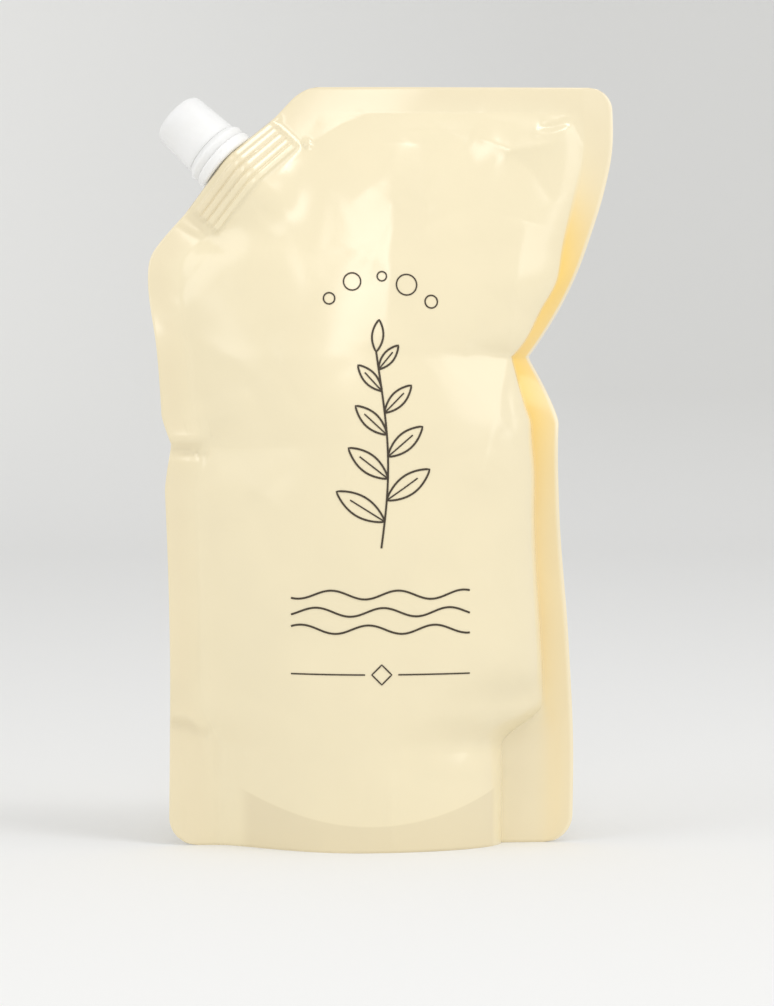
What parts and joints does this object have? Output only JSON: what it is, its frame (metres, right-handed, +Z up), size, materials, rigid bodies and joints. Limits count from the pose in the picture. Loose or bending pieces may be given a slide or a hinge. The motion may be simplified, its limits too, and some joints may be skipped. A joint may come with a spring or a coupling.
{
  "type": "hand soap refill pack",
  "caption": "Filled stand-up film pouch of liquid soap with welded seams, a bottom gusset and a corner spout closed by a screw cap.",
  "frame": {"origin": "on the standing surface, under the middle of the gusset's flat belly, in the plane of the side seams", "axes": "+Z up, -Y out of the front panel, +X to the right seen from the front; the spout is at the upper corner on the -X side"},
  "size_m": [0.1432, 0.0491, 0.2321],
  "materials": {
    "film": "satin cream laminate film",
    "closure": "white moulded polypropylene"
  },
  "bodies": {
    "pack": {"pouch": "film", "spout": "closure"},
    "band": {"tamper_band": "closure"},
    "cap": {"cap": "closure"}
  },
  "joints": [
    {"name": "band_turn", "type": "hinge", "parent": "pack", "child": "band", "pos_m": [-0.04579, 0.01039, 0.20782], "axis": [-0.7026, 0.261, 0.662], "range_deg": [0, 540]},
    {"name": "cap_rise", "type": "slide", "parent": "band", "child": "cap", "axis": [-0.7026, 0.261, 0.662], "range_m": [0, 0.0045]}
  ],
  "couplings": [
    {"joint": "cap_rise", "follows": "band_turn", "m_per_rad": 0.00047746}
  ]
}
